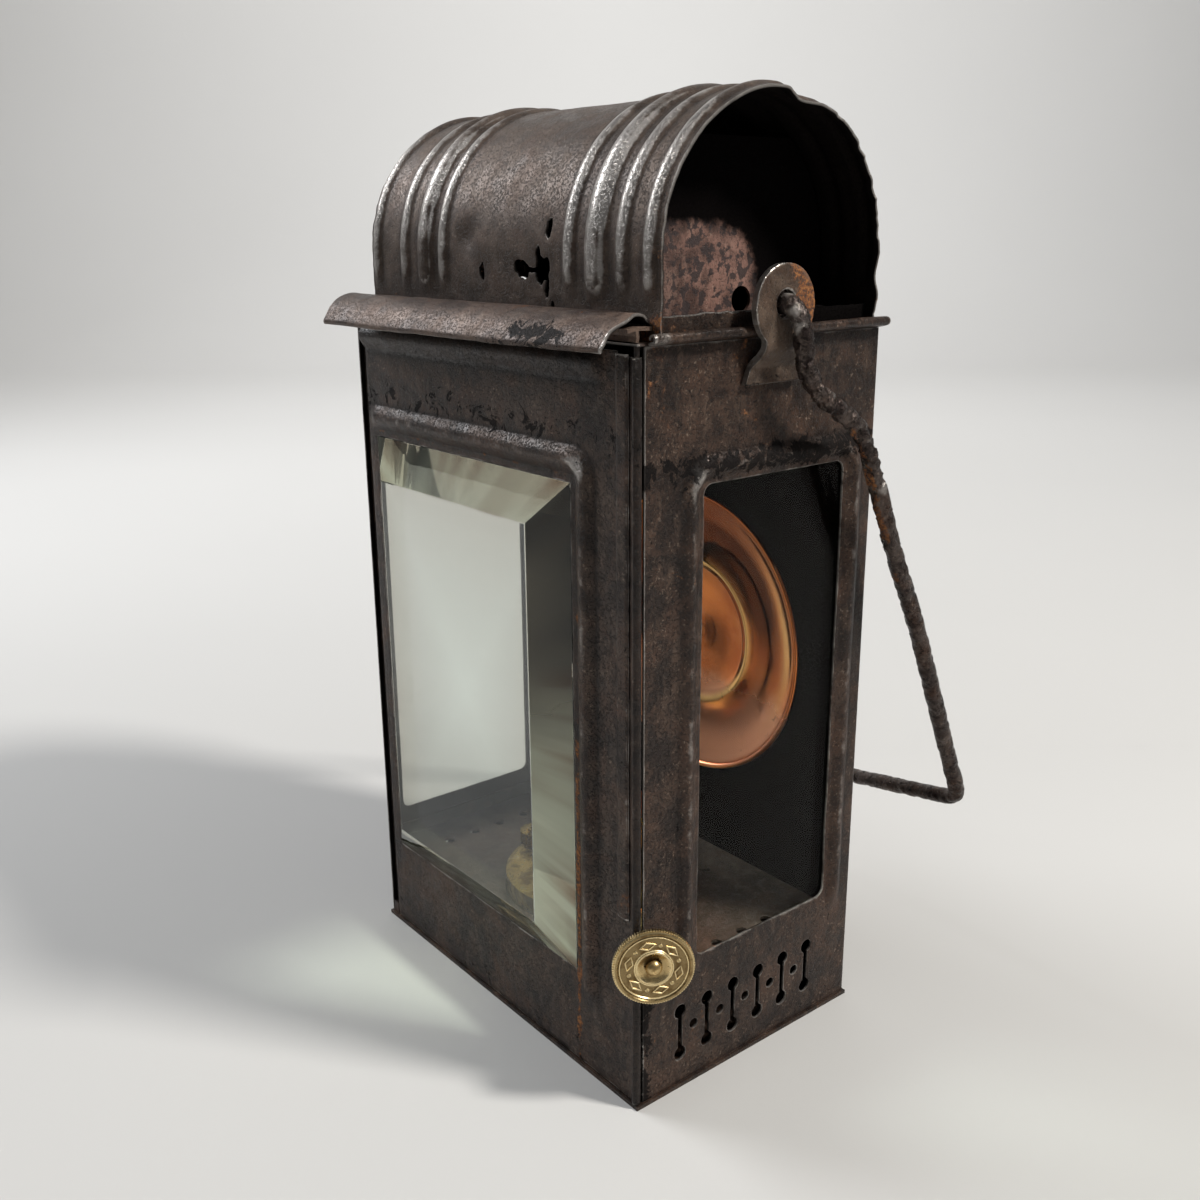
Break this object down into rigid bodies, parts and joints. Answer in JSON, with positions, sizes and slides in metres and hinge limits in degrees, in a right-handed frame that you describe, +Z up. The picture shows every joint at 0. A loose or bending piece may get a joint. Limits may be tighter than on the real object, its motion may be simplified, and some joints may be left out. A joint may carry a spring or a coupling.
{
  "type": "hand lantern",
  "caption": "Box hand lantern with a barrel roof, bevelled glass door, side windows, copper reflector, oil burner and swinging wire bail.",
  "frame": {"origin": "centre of the bottom plate's underside", "axes": "+X towards the end with the wick knob's side of the vent slots, -Y towards the bevelled glass door, +Z up"},
  "size_m": [0.137, 0.1282, 0.2324],
  "materials": {
    "iron": "dark brown patina with flaked black paint and rust",
    "roof_iron": "worn grey-brown sheet with bright rubbed ridges",
    "rusty_iron": "pitted rusty iron",
    "copper": "polished copper with dark tarnish",
    "brass": "dull aged brass",
    "front_glass": "thick clear glass with ground bevels, pale green in the edge",
    "pane_glass": "clear, faint grime at the edges",
    "washer": "oiled leather",
    "wick_cotton": "woven cotton, charred at its top"
  },
  "bodies": {
    "root": {"base_tray": "iron", "end_wall_right": "iron", "end_wall_left": "iron", "rear_wall": "iron", "chamber_floor": "roof_iron", "door_stop": "iron", "deck_plate": "iron", "rim_wires": "roof_iron", "drip_hood": "iron", "hood_bracket": "rusty_iron", "roof_barrel": "roof_iron", "baffle_right": "rusty_iron", "baffle_left": "rusty_iron", "ear_right": "rusty_iron", "ear_left": "rusty_iron", "reflector": "copper", "reflector_rivet": "copper", "side_glass_right": "pane_glass", "side_glass_left": "pane_glass", "glass_rails_right": "iron", "glass_rails_left": "iron", "hinge_pin": "roof_iron", "font_body": "brass", "font_top": "brass", "font_clips": "roof_iron", "filler_neck": "brass", "burner_collar": "brass", "burner_base": "brass", "burner_gallery": "brass", "burner_cone": "copper", "wick_tube": "brass", "spindle_bush": "brass"},
    "door": {"door_panel": "iron", "door_stile": "iron", "door_glass": "front_glass", "door_rails": "iron"},
    "bail": {"bail": "rusty_iron"},
    "wick_drive": {"wick_spindle": "brass", "wick_wheels": "brass", "wick_knob": "brass", "knob_boss": "brass"},
    "wick_lift": {"wick": "wick_cotton"},
    "cap_seat": {"cap_washer": "washer"},
    "filler_cap": {"filler_cap": "brass"}
  },
  "joints": [
    {"name": "door_hinge", "type": "hinge", "parent": "root", "child": "door", "pos_m": [0.0572, -0.0369, 0.09], "axis": [0, 0, 1], "range_deg": [0, 75]},
    {"name": "bail_hinge", "type": "hinge", "parent": "root", "child": "bail", "pos_m": [0, 0, 0.1871], "axis": [1, 0, 0], "range_deg": [-13, 240]},
    {"name": "wick_spin", "type": "hinge", "parent": "root", "child": "wick_drive", "pos_m": [0.05239, -0.02949, 0.0405], "axis": [-0.8387, 0.5446, 0], "range_deg": [-60, 150]},
    {"name": "wick_raise", "type": "slide", "parent": "root", "child": "wick_lift", "axis": [0, 0, 1], "range_m": [-0.0026, 0.0063]},
    {"name": "cap_rise", "type": "slide", "parent": "root", "child": "cap_seat", "axis": [0, 0, 1], "range_m": [0, 0.0026]},
    {"name": "cap_turn", "type": "hinge", "parent": "cap_seat", "child": "filler_cap", "pos_m": [-0.01804, -0.00657, 0.034], "axis": [0, 0, 1], "range_deg": [0, 900]}
  ],
  "couplings": [
    {"joint": "wick_raise", "follows": "wick_spin", "m_per_rad": 0.0023},
    {"joint": "cap_rise", "follows": "cap_turn", "m_per_rad": 0.00016}
  ]
}
